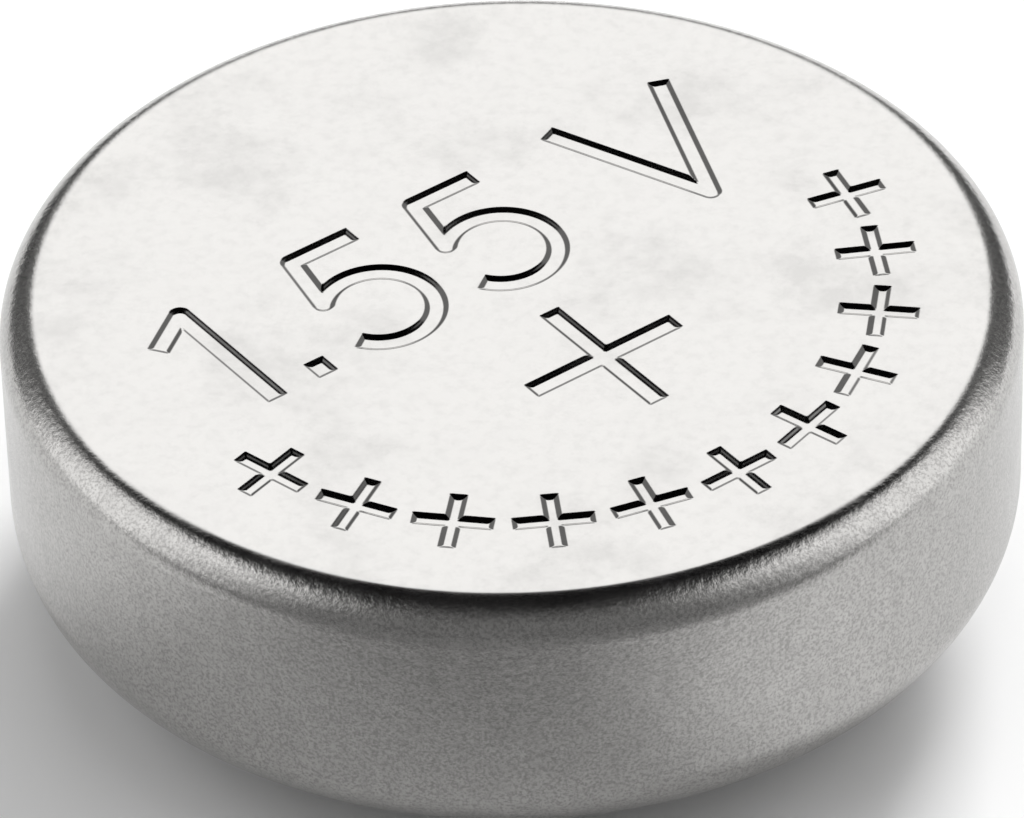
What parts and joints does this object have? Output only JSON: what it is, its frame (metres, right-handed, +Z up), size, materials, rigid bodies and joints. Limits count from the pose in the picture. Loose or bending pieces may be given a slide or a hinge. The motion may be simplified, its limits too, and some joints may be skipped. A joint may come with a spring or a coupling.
{
  "type": "silver oxide button cell",
  "caption": "Round crimped button cell standing on its cap: a plated steel can with stamped marks closed by a capped, gasketed mouth.",
  "frame": {"origin": "centre of the negative cap's flat outer face, which the cell stands on", "axes": "+Z up along the cell's axis, from the negative cap to the positive can's base; +X to the right of the pictured view"},
  "size_m": [0.0068, 0.0068, 0.0025],
  "materials": {
    "can_plating": "satin nickel plating",
    "cap_plating": "satin nickel plating",
    "gasket_nylon": "moulded nylon",
    "zinc_gel": "grey powder gel",
    "absorbent_felt": "felt",
    "membrane_film": "thin film",
    "silver_oxide": "pressed powder",
    "ring_steel": "bare steel"
  },
  "bodies": {
    "root": {"positive_can": "can_plating", "negative_cap": "cap_plating", "sealing_gasket": "gasket_nylon", "anode_gel": "zinc_gel", "absorbent_disc": "absorbent_felt", "barrier_membrane": "membrane_film", "cathode_pellet": "silver_oxide", "support_ring": "ring_steel"}
  },
  "joints": []
}
